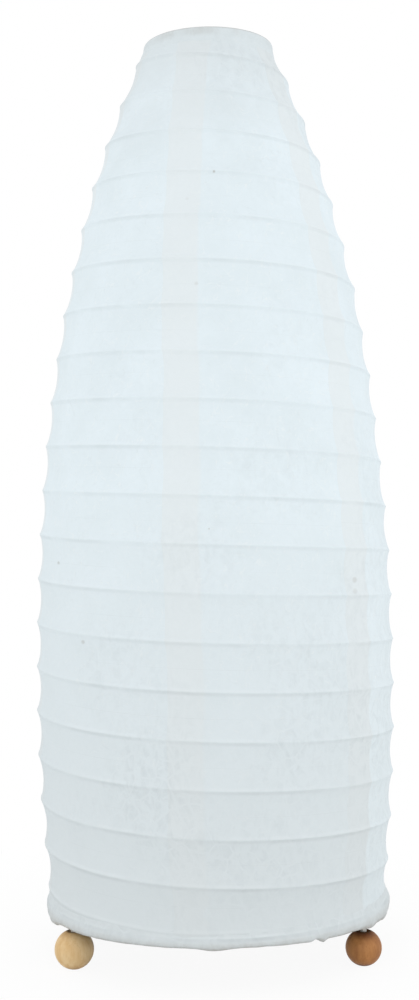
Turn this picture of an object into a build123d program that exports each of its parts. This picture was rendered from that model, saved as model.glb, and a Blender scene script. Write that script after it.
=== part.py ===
from build123d import *
import math
import os

# Overall lamp
LAMP_HEIGHT = 600.0
BELLY_RADIUS = 118.9
BELLY_HEIGHT = 151.0

# Shade paper and its rings
PAPER_THICKNESS = 0.4
PAPER_GAP = 0.1
EDGE_CLEARANCE = 0.5
GORE_COUNT = 5
FIRST_SEAM_ANGLE = 109.0
SECTIONS_PER_GORE = 7
SCALLOP_DEPTH = 2.1
BOTTOM_SCALLOP_DEPTH = 3.4
TOP_RING_RADIUS = 41.0
TOP_RING_WIRE = 2.5
BOTTOM_RING_RADIUS = 111.0
BOTTOM_RING_WIRE = 3.0
BOTTOM_RING_HEIGHT = 31.0
RIB_BEYOND_RING = 0.5
TOP_HEM_WIDTH = 8.0
BOTTOM_HEM_WIDTH = 9.0
BOTTOM_HEM_DROP = 5.8
BOTTOM_HEM_TUCK = 3.4

# Spiral rib
RIB_WIRE = 1.6
RIB_TURNS = 19.4
RIB_GAP = 0.3
RIB_END_DROP = 6.2
RIB_END_TURN = 0.02
RIB_END_GAP = 0.9
SELF_GAP_POINTS_PER_TURN = 24

# Ball feet and legs
FOOT_COUNT = 3
FOOT_NAMES = ["back", "left", "right"]
FIRST_FOOT_ANGLE = 90.0
FOOT_INSET = 5.0
FOOT_BALL = 25.0
RIGHT_FOOT_BALL = 23.0
FOOT_FLAT = 8.0
FOOT_HOLE_DEPTH = 18.0
FOOT_HOLE_MOUTH = 7.6
LEG_WIRE = 4.0
LEG_HOLE_CLEARANCE = 0.15
LEG_BEND = 7.0
LEG_HEIGHT = 33.0
LEG_INNER_END = 16.0

# Hub disc, upright wires and frame ring
HUB_THICKNESS = 1.6
HUB_RIM_HEIGHT = 4.0
WELD_GAP = 0.05
UPRIGHT_WIRE = 3.0
SOCKET_OUTER = 6.0
SOCKET_LENGTH = 14.0
SOCKET_CLEARANCE = 0.1
SOCKET_TO_RIM = 3.45
FRAME_RING_WIRE = 3.0
FRAME_RING_INSET = 2.0
REST_GAP = 0.3

# Lamp holder
NIPPLE_DIAMETER = 10.0
NIPPLE_BORE = 7.2
NIPPLE_BELOW_HUB = 11.0
NIPPLE_ABOVE_HUB = 9.0
FASTENER_CLEARANCE = 0.1
NUT_ACROSS_FLATS = 14.0
NUT_HEIGHT = 3.5
WASHER_RADIUS = 9.0
WASHER_THICKNESS = 0.8
BUSH_BORE = 6.0
BUSH_FLANGE_RADIUS = 6.5
BUSH_FLANGE = 2.5
BUSH_SPIGOT = 7.0
HOLDER_RADIUS = 19.5
HOLDER_FOOT_RADIUS = 16.5
HOLDER_WALL = 2.0
HOLDER_BASE_HEIGHT = 20.0
HOLDER_SPIGOT = 6.0
HOLDER_SPIGOT_STEP = 1.5
HOLDER_SLEEVE_HEIGHT = 42.0
HOLDER_FIT = 0.15
GROOVE_COUNT = 24
GROOVE_WIDTH = 1.4
GROOVE_LENGTH = 14.0
GROOVE_MIDDLE = 9.0
BLOCK_HEIGHT = 10.0
SHELL_WALL = 0.4
SHELL_CLEARANCE = 0.35
CONTACT_STRIP = 0.5
CENTRE_STRIP_WIDTH = 4.0
TONGUE_LENGTH = 7.3
SIDE_STRIP_LENGTH = 9.0
SIDE_STRIP_WIDTH = 5.0
TERMINAL_SPREAD = 9.0
TERMINAL_SCREW = 3.0

# Bulb
THREAD_PITCH = 3.629
THREAD_CREST_RADIUS = 13.05
THREAD_DEPTH = 0.75
THREAD_TURNS = 5
CAP_WALL = 0.4
TIP_RADIUS = 4.6
TIP_HEIGHT = 2.0
INSULATOR_HEIGHT = 4.0
BULB_RADIUS = 30.0
BULB_LENGTH = 105.0
GLASS_WALL = 0.8
FILAMENT_COUNT = 4
FILAMENT_DIAMETER = 1.8
FILAMENT_LENGTH = 36.0
FILAMENT_CIRCLE_RADIUS = 8.0
FILAMENT_TO_STEM = 2.0
STEM_RADIUS = 3.5
STEM_LENGTH = 26.0
STEM_FLARE_EDGE = 1.2
STEM_FLARE_WAIST = 9.0
STEM_FLARE_LENGTH = 16.0
STEM_TIP_LENGTH = 4.0
STEM_TIP_RADIUS = 1.2
LEAD_WIRE = 0.8
LEAD_LENGTH = 8.0

# Heights and radii that follow from the sizes above
TOP_RING_HEIGHT = LAMP_HEIGHT - PAPER_THICKNESS - PAPER_GAP - TOP_RING_WIRE / 2
TOP_EDGE_HEIGHT = TOP_RING_HEIGHT - EDGE_CLEARANCE - TOP_RING_WIRE / 4
BOTTOM_EDGE_HEIGHT = BOTTOM_RING_HEIGHT + EDGE_CLEARANCE + BOTTOM_RING_WIRE / 2
TOP_EDGE_RADIUS = TOP_RING_RADIUS + TOP_RING_WIRE / 2 + PAPER_GAP + PAPER_THICKNESS
BOTTOM_EDGE_RADIUS = BOTTOM_RING_RADIUS + BOTTOM_RING_WIRE / 2 + PAPER_GAP + PAPER_THICKNESS
BOTTOM_RIB_RADIUS = BOTTOM_RING_RADIUS + RIB_BEYOND_RING
RIB_INSET = PAPER_THICKNESS + RIB_GAP + RIB_WIRE / 2 + PAPER_GAP
FOOT_CIRCLE_RADIUS = BOTTOM_RING_RADIUS - FOOT_INSET
FOOT_BALLS = [FOOT_BALL, FOOT_BALL, RIGHT_FOOT_BALL]
FOOT_HEIGHTS = [2 * math.sqrt((ball / 2) ** 2 - (FOOT_FLAT / 2) ** 2) for ball in FOOT_BALLS]
FOOT_HOLE_FLOOR = max(FOOT_HEIGHTS) - FOOT_HOLE_DEPTH
HUB_BOTTOM = LEG_HEIGHT + LEG_WIRE / 2 + WELD_GAP
HUB_TOP = HUB_BOTTOM + HUB_THICKNESS
FRAME_RING_RADIUS = TOP_RING_RADIUS - FRAME_RING_INSET
RING_REACH = TOP_RING_WIRE / 2 + FRAME_RING_WIRE / 2 + REST_GAP
FRAME_RING_HEIGHT = TOP_RING_HEIGHT - math.sqrt(RING_REACH ** 2 - FRAME_RING_INSET ** 2)
UPRIGHT_RADIUS = FRAME_RING_RADIUS - FRAME_RING_WIRE / 2 - UPRIGHT_WIRE / 2 - WELD_GAP
HUB_RADIUS = UPRIGHT_RADIUS + SOCKET_OUTER / 2 + SOCKET_TO_RIM + HUB_THICKNESS
HOLDER_BOTTOM = HUB_TOP + WELD_GAP
HOLDER_STEP = HOLDER_BOTTOM + HOLDER_BASE_HEIGHT - HOLDER_SPIGOT
BASE_TOP = HOLDER_BOTTOM + HOLDER_BASE_HEIGHT
BLOCK_BOTTOM = BASE_TOP + WELD_GAP
BLOCK_TOP = BLOCK_BOTTOM + BLOCK_HEIGHT
SLEEVE_TOP = HOLDER_STEP + WELD_GAP + HOLDER_SLEEVE_HEIGHT
SPIGOT_RADIUS = HOLDER_RADIUS - HOLDER_SPIGOT_STEP
SHELL_RADIUS = THREAD_CREST_RADIUS + SHELL_CLEARANCE
TIP_BOTTOM = BLOCK_TOP + 3.0
INSULATOR_BOTTOM = TIP_BOTTOM + TIP_HEIGHT
CAP_BOTTOM = INSULATOR_BOTTOM + INSULATOR_HEIGHT
CAP_TOP = CAP_BOTTOM + (THREAD_TURNS + 0.5) * THREAD_PITCH
BULB_TOP = TIP_BOTTOM + BULB_LENGTH
GLOBE_HEIGHT = BULB_TOP - BULB_RADIUS

os.makedirs("parts", exist_ok=True)


def save(shape, name):
    export_step(shape, "parts/" + name + ".step")


def polar(radius, angle, height):
    turn = math.radians(angle)
    return Vector(radius * math.cos(turn), radius * math.sin(turn), height)


def turned(points):
    outline = Polyline(*[(r, 0, z) for r, z in points], close=True)
    return revolve(make_face(outline), Axis.Z)


def ring(radius, wire, height):
    return Pos(0, 0, height) * Torus(radius, wire / 2)


def rod(radius, bottom, top):
    return Pos(0, 0, (bottom + top) / 2) * Cylinder(radius, top - bottom)


def tube(edges, diameter):
    path = Wire(edges)
    start = Plane(origin=path @ 0, z_dir=path % 0)
    return sweep(start * Circle(diameter / 2), path=path)


def hex_nut(bottom, bore):
    hexagon = RegularPolygon(NUT_ACROSS_FLATS / 2, 6, major_radius=False)
    body = Pos(0, 0, bottom) * extrude(hexagon, NUT_HEIGHT)
    body = chamfer(body.edges().filter_by(GeomType.LINE).filter_by(Plane.XY), 0.5)
    return body - rod(bore / 2, bottom - 1, bottom + NUT_HEIGHT + 1)


# Outline of the shade: radius of the paper ridge at a height
def ridge_radius(height):
    if height >= BELLY_HEIGHT:
        share = (height - BELLY_HEIGHT) / (TOP_RING_HEIGHT - BELLY_HEIGHT)
        drawn_in = 0.9 * share ** 2.4 + 0.1 * share ** 6
        return BELLY_RADIUS - (BELLY_RADIUS - TOP_EDGE_RADIUS) * drawn_in
    share = (BELLY_HEIGHT - height) / (BELLY_HEIGHT - BOTTOM_RING_HEIGHT)
    return BELLY_RADIUS - (BELLY_RADIUS - BOTTOM_RIB_RADIUS) * share ** 1.4


# The rib keeps one spacing along the paper, so its heights are read off the length of the outline
RIB_TOP = TOP_RING_HEIGHT - RIB_END_DROP
RIB_BOTTOM = BOTTOM_RING_HEIGHT + RIB_END_DROP
OUTLINE_STEPS = 1200
outline_heights = [RIB_TOP + (RIB_BOTTOM - RIB_TOP) * i / OUTLINE_STEPS for i in range(OUTLINE_STEPS + 1)]
outline_lengths = [0.0]
for above, below in zip(outline_heights, outline_heights[1:]):
    step = math.hypot(above - below, ridge_radius(above) - ridge_radius(below))
    outline_lengths.append(outline_lengths[-1] + step)


def rib_height(turns):
    wanted = outline_lengths[-1] * turns / RIB_TURNS
    if wanted <= 0:
        return RIB_TOP
    for i in range(OUTLINE_STEPS):
        if outline_lengths[i + 1] >= wanted:
            part = (wanted - outline_lengths[i]) / (outline_lengths[i + 1] - outline_lengths[i])
            return outline_heights[i] + part * (outline_heights[i + 1] - outline_heights[i])
    return RIB_BOTTOM


RIB_SPACING = outline_lengths[-1] / RIB_TURNS


def rib_point(turns):
    height = rib_height(turns)
    return polar(ridge_radius(height) - RIB_INSET, FIRST_SEAM_ANGLE + 360 * turns, height)


def rib_tangent(turns):
    return (rib_point(turns + 0.005) - rib_point(turns - 0.005)).normalized()


# Two arcs that leave one point and reach another along given directions
def two_arcs(start, start_way, end, end_way):
    across = end - start
    both = start_way + end_way
    bend = 2 * (1 - start_way.dot(end_way))
    along = across.dot(both)
    if bend < 1e-9:
        reach = across.dot(across) / (2 * along)
    else:
        reach = (math.sqrt(along ** 2 + bend * across.dot(across)) - along) / bend
    leave = start + start_way * reach
    arrive = end - end_way * reach
    middle = (leave + arrive) * 0.5
    first = Edge.make_tangent_arc(start, start_way, middle)
    second = Edge.make_tangent_arc(middle, (arrive - leave).normalized(), end)
    return [first, second]


# Spiral rib: one wire from the top ring to the bottom ring, a quarter turn to each pair of arcs
UP = Vector(0, 0, 1)
RIB_FIRST = RIB_END_TURN
RIB_LAST = RIB_TURNS - RIB_END_TURN


def rib_end(turns, ring_radius, ring_wire, ring_height):
    here = rib_point(turns)
    centre = polar(ring_radius, FIRST_SEAM_ANGLE + 360 * turns, ring_height)
    to_ring = centre - here
    bend = to_ring.length - ring_wire / 2 - RIB_END_GAP - RIB_WIRE
    return to_ring.normalized(), bend


top_way, top_size = rib_end(RIB_FIRST, TOP_RING_RADIUS - TOP_RING_WIRE / 4, TOP_RING_WIRE, TOP_RING_HEIGHT)
first_way = rib_tangent(RIB_FIRST)
top_bend = rib_point(RIB_FIRST) + (top_way - first_way) * top_size
rib_path = [Edge.make_line(top_bend + top_way * RIB_WIRE, top_bend)]
rib_path += two_arcs(top_bend, top_way * -1, rib_point(RIB_FIRST), first_way)
rib_stops = [RIB_FIRST]
while RIB_LAST - rib_stops[-1] > 0.25:
    rib_stops.append(rib_stops[-1] + 0.25)
rib_stops.append(RIB_LAST)
for here, there in zip(rib_stops, rib_stops[1:]):
    rib_path += two_arcs(rib_point(here), rib_tangent(here), rib_point(there), rib_tangent(there))
bottom_way, bottom_size = rib_end(RIB_LAST, BOTTOM_RING_RADIUS, BOTTOM_RING_WIRE, BOTTOM_RING_HEIGHT)
last_way = rib_tangent(RIB_LAST)
bottom_bend = rib_point(RIB_LAST) + (last_way + bottom_way) * bottom_size
rib_path += two_arcs(rib_point(RIB_LAST), last_way, bottom_bend, bottom_way)
rib_path.append(Edge.make_line(bottom_bend, bottom_bend + bottom_way * RIB_WIRE))
save(tube(rib_path, RIB_WIRE), "spiral_rib")

sample_count = int(RIB_TURNS * SELF_GAP_POINTS_PER_TURN) + 1
rib_samples = [rib_point(i / SELF_GAP_POINTS_PER_TURN) for i in range(sample_count)]
least = LAMP_HEIGHT
for i, here in enumerate(rib_samples):
    for there in rib_samples[i + SELF_GAP_POINTS_PER_TURN // 4:]:
        least = min(least, (there - here).length)
least_gap = round(least - RIB_WIRE, 2)
print("spiral_rib least gap to itself", least_gap, "mm, spacing", round(RIB_SPACING, 2), "mm")


# Paper gores: thin sectors drawn in between the rib's turns
GORE_ANGLE = 360 / GORE_COUNT
RIB_END_GORE = round(RIB_TURNS % 1 * GORE_COUNT) % GORE_COUNT


# Beyond each end of the rib its ridge fades out across one gore
def faded_ridge(above, below, height, share, depth):
    part = (above[1] - height) / (above[1] - below[1])
    chord = math.hypot(above[0] - below[0], above[1] - below[1])
    sag = 4 * depth * (chord / RIB_SPACING) ** 2 * part * (1 - part)
    low = above[0] + part * (below[0] - above[0]) - sag
    return (low + share * (ridge_radius(height) - low), height)


def gore_profile(angle, gore):
    turns = (angle - FIRST_SEAM_ANGLE) / 360
    across = turns * GORE_COUNT - gore
    crossings = int(RIB_TURNS - (gore + 1) / GORE_COUNT + 1e-6) + 1
    ridge = [(TOP_EDGE_RADIUS, TOP_EDGE_HEIGHT)]
    for k in range(crossings):
        height = rib_height(turns + k)
        ridge.append((ridge_radius(height), height))
    ridge.append((BOTTOM_EDGE_RADIUS, BOTTOM_EDGE_HEIGHT))
    depths = [SCALLOP_DEPTH] * crossings + [BOTTOM_SCALLOP_DEPTH]
    if gore == GORE_COUNT - 1:
        ridge.insert(1, faded_ridge(ridge[0], ridge[1], RIB_TOP, across, SCALLOP_DEPTH))
        depths.insert(0, SCALLOP_DEPTH)
    if gore == RIB_END_GORE:
        ridge.insert(-1, faded_ridge(ridge[-2], ridge[-1], RIB_BOTTOM, 1 - across, BOTTOM_SCALLOP_DEPTH))
        depths.insert(-1, BOTTOM_SCALLOP_DEPTH + (1 - across) * (SCALLOP_DEPTH - BOTTOM_SCALLOP_DEPTH))
    return ridge, depths


def scallop(above, below, angle, inward, depth):
    chord = math.hypot(above[0] - below[0], above[1] - below[1])
    sag = depth * (chord / RIB_SPACING) ** 2
    middle_r = (above[0] + below[0]) / 2 - sag * (above[1] - below[1]) / chord
    middle_z = (above[1] + below[1]) / 2 - sag * (below[0] - above[0]) / chord
    start = polar(above[0] - inward, angle, above[1])
    middle = polar(middle_r - inward, angle, middle_z)
    end = polar(below[0] - inward, angle, below[1])
    return Edge.make_three_point_arc(start, middle, end)


def gore_section(angle, gore):
    ridge, depths = gore_profile(angle, gore)
    outer = []
    inner = []
    for above, below, depth in zip(ridge, ridge[1:], depths):
        outer.append(scallop(above, below, angle, 0.0, depth))
        inner.append(scallop(above, below, angle, PAPER_THICKNESS, depth))
    top = Edge.make_line(inner[0] @ 0, outer[0] @ 0)
    bottom = Edge.make_line(outer[-1] @ 1, inner[-1] @ 1)
    back = [Edge.make_three_point_arc(edge @ 1, edge @ 0.5, edge @ 0) for edge in reversed(inner)]
    return Wire([top] + outer + [bottom] + back)


for gore in range(GORE_COUNT):
    start_angle = FIRST_SEAM_ANGLE + gore * GORE_ANGLE
    sections = []
    for i in range(SECTIONS_PER_GORE):
        sections.append(gore_section(start_angle + GORE_ANGLE * i / (SECTIONS_PER_GORE - 1), gore))
    save(Solid.make_loft(sections), "paper_gore_" + str(gore + 1))

# Rings of the shade
save(ring(TOP_RING_RADIUS, TOP_RING_WIRE, TOP_RING_HEIGHT), "top_ring")
save(ring(BOTTOM_RING_RADIUS, BOTTOM_RING_WIRE, BOTTOM_RING_HEIGHT), "bottom_ring")

# Top hem: paper strip glued outside the gores and turned over the top ring
hem_low = TOP_RING_HEIGHT - TOP_HEM_WIDTH
hem_in = PAPER_GAP + 0.15
hem_out = hem_in + PAPER_THICKNESS
outer_low = (ridge_radius(hem_low) + hem_out, 0, hem_low)
outer_high = (TOP_EDGE_RADIUS + hem_out, 0, TOP_RING_HEIGHT)
outer_end = (TOP_RING_RADIUS, 0, LAMP_HEIGHT)
inner_end = (TOP_RING_RADIUS, 0, LAMP_HEIGHT - PAPER_THICKNESS)
inner_high = (TOP_EDGE_RADIUS + hem_in, 0, TOP_RING_HEIGHT)
inner_low = (ridge_radius(hem_low) + hem_in, 0, hem_low)
top_hem_outline = [
    Edge.make_line(outer_low, outer_high),
    Edge.make_tangent_arc(outer_end, (1, 0, 0), outer_high),
    Edge.make_line(outer_end, inner_end),
    Edge.make_tangent_arc(inner_end, (1, 0, 0), inner_high),
    Edge.make_line(inner_high, inner_low),
    Edge.make_line(inner_low, outer_low),
]
save(revolve(Face(Wire(top_hem_outline)), Axis.Z), "top_hem")

# Bottom hem: paper strip glued outside the gores, then tucked in under the bottom ring
hem_high = BOTTOM_RING_HEIGHT + BOTTOM_HEM_WIDTH
hem_flare = max(0.0, ridge_radius(hem_high) - BOTTOM_EDGE_RADIUS)
tuck_radius = BOTTOM_RING_RADIUS - BOTTOM_RING_WIRE / 2 - PAPER_GAP
tuck_height = BOTTOM_RING_HEIGHT - BOTTOM_HEM_DROP
bottom_hem_outline = []
for offset, lift in ((hem_out, 0.0), (hem_in, PAPER_THICKNESS)):
    side = BOTTOM_EDGE_RADIUS + offset
    bottom_hem_outline.append(
        [
            (side + hem_flare, 0, hem_high),
            (side, 0, BOTTOM_RING_HEIGHT),
            (side - BOTTOM_HEM_TUCK / 4, 0, BOTTOM_RING_HEIGHT - BOTTOM_HEM_DROP / 2 + lift / 2),
            (tuck_radius, 0, tuck_height + lift),
        ]
    )
hem_outer, hem_inner = bottom_hem_outline
bottom_hem_edges = [
    Edge.make_line(hem_outer[0], hem_outer[1]),
    Edge.make_three_point_arc(hem_outer[1], hem_outer[2], hem_outer[3]),
    Edge.make_line(hem_outer[3], hem_inner[3]),
    Edge.make_three_point_arc(hem_inner[3], hem_inner[2], hem_inner[1]),
    Edge.make_line(hem_inner[1], hem_inner[0]),
    Edge.make_line(hem_inner[0], hem_outer[0]),
]
save(revolve(Face(Wire(bottom_hem_edges)), Axis.Z), "bottom_hem")

# Ball feet: turned balls with small flats and a countersunk blind hole for the leg, the right one smaller
foot_hole = LEG_WIRE / 2 + LEG_HOLE_CLEARANCE
sink = FOOT_HOLE_MOUTH / 2 - foot_hole
for i, name in enumerate(FOOT_NAMES):
    angle = FIRST_FOOT_ANGLE + i * 360 / FOOT_COUNT
    ball = FOOT_BALLS[i]
    height = FOOT_HEIGHTS[i]
    foot = Pos(0, 0, height / 2) * (Sphere(ball / 2) & Box(ball, ball, height))
    foot -= rod(foot_hole, FOOT_HOLE_FLOOR, height + 1)
    foot -= Pos(0, 0, height - sink / 2) * Cone(foot_hole, FOOT_HOLE_MOUTH / 2, sink)
    save(Pos(polar(FOOT_CIRCLE_RADIUS, angle, 0)) * foot, "foot_ball_" + name)

# Legs: bent wires from under the hub disc out to the balls
leg_bottom = FOOT_HOLE_FLOOR + EDGE_CLEARANCE
for i, name in enumerate(FOOT_NAMES):
    angle = FIRST_FOOT_ANGLE + i * 360 / FOOT_COUNT
    out = polar(1, angle, 0)
    pin_top = polar(FOOT_CIRCLE_RADIUS, angle, LEG_HEIGHT - LEG_BEND)
    spoke_end = polar(FOOT_CIRCLE_RADIUS - LEG_BEND, angle, LEG_HEIGHT)
    leg_path = [
        Edge.make_line(polar(FOOT_CIRCLE_RADIUS, angle, leg_bottom), pin_top),
        Edge.make_tangent_arc(pin_top, UP, spoke_end),
        Edge.make_line(spoke_end, polar(LEG_INNER_END, angle, LEG_HEIGHT)),
    ]
    save(tube(leg_path, LEG_WIRE), "leg_" + name)

# Hub disc: pressed sheet with an upturned rim, drilled for the nipple
hub = turned(
    [
        (0, HUB_BOTTOM),
        (HUB_RADIUS, HUB_BOTTOM),
        (HUB_RADIUS, HUB_TOP + HUB_RIM_HEIGHT),
        (HUB_RADIUS - HUB_THICKNESS, HUB_TOP + HUB_RIM_HEIGHT),
        (HUB_RADIUS - HUB_THICKNESS, HUB_TOP),
        (0, HUB_TOP),
    ]
)
hub = fillet(hub.edges().filter_by(GeomType.CIRCLE).group_by(Axis.Z)[0], 1.2)
hub -= rod(NIPPLE_DIAMETER / 2 + FASTENER_CLEARANCE, HUB_BOTTOM - 1, HUB_TOP + 1)
save(hub, "hub_disc")

# Upright wires in their socket tubes, and the frame ring welded round their tops
socket_bottom = HUB_TOP + WELD_GAP
upright_top = FRAME_RING_HEIGHT + FRAME_RING_WIRE / 2
socket = rod(SOCKET_OUTER / 2, socket_bottom, socket_bottom + SOCKET_LENGTH)
socket -= rod(UPRIGHT_WIRE / 2 + SOCKET_CLEARANCE, socket_bottom - 1, socket_bottom + SOCKET_LENGTH + 1)
upright = rod(UPRIGHT_WIRE / 2, socket_bottom + WELD_GAP, upright_top)
upright = chamfer(upright.edges().group_by(Axis.Z)[-1], 0.4)
for i, name in enumerate(FOOT_NAMES):
    angle = FIRST_FOOT_ANGLE + i * 360 / FOOT_COUNT
    at = Pos(polar(UPRIGHT_RADIUS, angle, 0))
    save(at * socket, "socket_" + name)
    save(at * upright, "upright_" + name)
save(ring(FRAME_RING_RADIUS, FRAME_RING_WIRE, FRAME_RING_HEIGHT), "frame_ring")

# Nipple with its nuts, washer and cable bush
nipple_bottom = HUB_BOTTOM - NIPPLE_BELOW_HUB
nipple = rod(NIPPLE_DIAMETER / 2, nipple_bottom, HUB_TOP + NIPPLE_ABOVE_HUB)
nipple = chamfer(nipple.edges().filter_by(GeomType.CIRCLE), 0.5)
nipple -= rod(NIPPLE_BORE / 2, nipple_bottom - 1, HUB_TOP + NIPPLE_ABOVE_HUB + 1)
save(nipple, "nipple")
nut_bore = NIPPLE_DIAMETER + 2 * FASTENER_CLEARANCE
washer_bottom = HUB_BOTTOM - WELD_GAP - WASHER_THICKNESS
washer = rod(WASHER_RADIUS, washer_bottom, washer_bottom + WASHER_THICKNESS)
for tooth in range(12):
    cut = Pos(WASHER_RADIUS, 0, washer_bottom + WASHER_THICKNESS / 2) * Box(2.4, 1.6, 2)
    washer -= Rot(0, 0, tooth * 30) * cut
washer -= rod(nut_bore / 2, washer_bottom - 1, washer_bottom + 2)
save(washer, "toothed_washer")
save(hex_nut(washer_bottom - WELD_GAP - NUT_HEIGHT, nut_bore), "lower_nut")
upper_nut_bottom = HOLDER_BOTTOM + HOLDER_WALL + WELD_GAP
save(hex_nut(upper_nut_bottom, nut_bore), "upper_nut")
bush_top = nipple_bottom - WELD_GAP
bush = rod(BUSH_FLANGE_RADIUS, bush_top - BUSH_FLANGE, bush_top)
bush = fillet(bush.edges().group_by(Axis.Z)[0], 1.0)
bush += rod(NIPPLE_BORE / 2 - FASTENER_CLEARANCE, bush_top - 0.5, bush_top + BUSH_SPIGOT)
bush -= rod(BUSH_BORE / 2, bush_top - BUSH_FLANGE - 1, bush_top + BUSH_SPIGOT + 1)
save(bush, "cable_bush")

# Lamp holder: base cup, sleeve, contact block, screw shell and contacts
base = turned(
    [
        (nut_bore / 2, HOLDER_BOTTOM),
        (HOLDER_FOOT_RADIUS, HOLDER_BOTTOM),
        (HOLDER_RADIUS, HOLDER_BOTTOM + 5),
        (HOLDER_RADIUS, HOLDER_STEP),
        (SPIGOT_RADIUS, HOLDER_STEP),
        (SPIGOT_RADIUS, BASE_TOP),
        (SPIGOT_RADIUS - HOLDER_WALL, BASE_TOP),
        (SPIGOT_RADIUS - HOLDER_WALL, HOLDER_BOTTOM + 5 + HOLDER_WALL),
        (HOLDER_FOOT_RADIUS - HOLDER_WALL, HOLDER_BOTTOM + HOLDER_WALL),
        (nut_bore / 2, HOLDER_BOTTOM + HOLDER_WALL),
    ]
)
save(base, "holder_base")
sleeve_bottom = HOLDER_STEP + WELD_GAP
sleeve_inner = SPIGOT_RADIUS + HOLDER_FIT
sleeve_mouth = SHELL_RADIUS + SHELL_WALL + HOLDER_FIT
sleeve = turned(
    [
        (sleeve_inner, sleeve_bottom),
        (HOLDER_RADIUS, sleeve_bottom),
        (HOLDER_RADIUS, SLEEVE_TOP),
        (sleeve_mouth, SLEEVE_TOP),
        (sleeve_mouth, SLEEVE_TOP - HOLDER_WALL),
        (sleeve_inner, SLEEVE_TOP - HOLDER_WALL - 2),
    ]
)
sleeve_rim = sleeve.edges().filter_by(GeomType.CIRCLE).group_by(Axis.Z)[-1].sort_by(SortBy.LENGTH)[-1]
sleeve = fillet(sleeve_rim, 1.2)
for groove in range(GROOVE_COUNT):
    cut = Pos(HOLDER_RADIUS + 0.2, 0, sleeve_bottom + GROOVE_MIDDLE) * Box(1.2, GROOVE_WIDTH, GROOVE_LENGTH)
    sleeve -= Rot(0, 0, groove * 360 / GROOVE_COUNT) * cut
save(sleeve, "holder_sleeve")
block = rod(SPIGOT_RADIUS - HOLDER_FIT, BLOCK_BOTTOM, BLOCK_TOP)
terminal_hole = TERMINAL_SCREW / 2 + FASTENER_CLEARANCE
for side in (-1, 1):
    block -= Pos(side * TERMINAL_SPREAD, 0, 0) * rod(terminal_hole, BLOCK_BOTTOM - 1, BLOCK_TOP + 1)
save(block, "contact_block")


def wave(radius, bottom, count, depth):
    points = []
    for k in range(count):
        low = bottom + k * THREAD_PITCH
        points.append((radius, low + THREAD_PITCH * 0.2))
        points.append((radius - depth, low + THREAD_PITCH * 0.5))
        points.append((radius - depth, low + THREAD_PITCH * 0.7))
        points.append((radius, low + THREAD_PITCH))
    return points


shell_bottom = BLOCK_TOP + WELD_GAP + CONTACT_STRIP
shell_turns = int((SLEEVE_TOP - shell_bottom - 1) / THREAD_PITCH)
shell_crest = SHELL_RADIUS + THREAD_DEPTH / 2
shell_inner = wave(shell_crest, shell_bottom, shell_turns, THREAD_DEPTH / 2)
shell_outer = [(r + SHELL_WALL, z) for r, z in reversed(shell_inner)]
shell_end = shell_bottom + shell_turns * THREAD_PITCH
outline = [(shell_crest, shell_bottom)] + shell_inner
outline += shell_outer + [(shell_crest + SHELL_WALL, shell_bottom)]
save(turned(outline), "screw_shell")
strip_left = REST_GAP - TIP_RADIUS
strip_right = TERMINAL_SPREAD + TERMINAL_SCREW / 2 + 2 * FASTENER_CLEARANCE
strip_middle = Pos((strip_left + strip_right) / 2, 0, BLOCK_TOP + WELD_GAP + CONTACT_STRIP / 2)
centre = strip_middle * Box(strip_right - strip_left, CENTRE_STRIP_WIDTH, CONTACT_STRIP)
strip_eye = rod(TERMINAL_SCREW, BLOCK_TOP + WELD_GAP, BLOCK_TOP + WELD_GAP + CONTACT_STRIP)
centre += Pos(TERMINAL_SPREAD, 0, 0) * strip_eye
tongue_top = TIP_BOTTOM - REST_GAP
riser = Pos(strip_left + CONTACT_STRIP, 0, (BLOCK_TOP + WELD_GAP + tongue_top) / 2)
centre += riser * Box(CONTACT_STRIP, CENTRE_STRIP_WIDTH, tongue_top - BLOCK_TOP - WELD_GAP)
tongue = Pos(strip_left + (CONTACT_STRIP + TONGUE_LENGTH) / 2, 0, tongue_top - CONTACT_STRIP / 2)
centre += tongue * Box(TONGUE_LENGTH, CENTRE_STRIP_WIDTH, CONTACT_STRIP)
centre -= Pos(TERMINAL_SPREAD, 0, 0) * rod(terminal_hole, BLOCK_TOP - 1, TIP_BOTTOM)
save(centre, "centre_contact")
side_middle = Pos(-TERMINAL_SPREAD - TERMINAL_SCREW / 2, 0, BLOCK_TOP + WELD_GAP + CONTACT_STRIP / 2 - 0.02)
side_strip = side_middle * Box(SIDE_STRIP_LENGTH, SIDE_STRIP_WIDTH, CONTACT_STRIP - 0.04)
side_strip -= Pos(-TERMINAL_SPREAD, 0, 0) * rod(terminal_hole, BLOCK_TOP - 1, TIP_BOTTOM)
save(side_strip, "side_contact")
screw_low = BLOCK_BOTTOM - WELD_GAP
screws = []
for side in (-1, 1):
    screw = rod(TERMINAL_SCREW / 2, screw_low - 1, BLOCK_TOP + CONTACT_STRIP)
    screw += rod(2.75, screw_low - 2.2, screw_low)
    screw -= Pos(0, 0, screw_low - 2.2) * Box(6, 0.8, 1.6)
    screws.append(Pos(side * TERMINAL_SPREAD, 0, 0) * screw)
save(Compound(screws), "terminal_screws")

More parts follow.
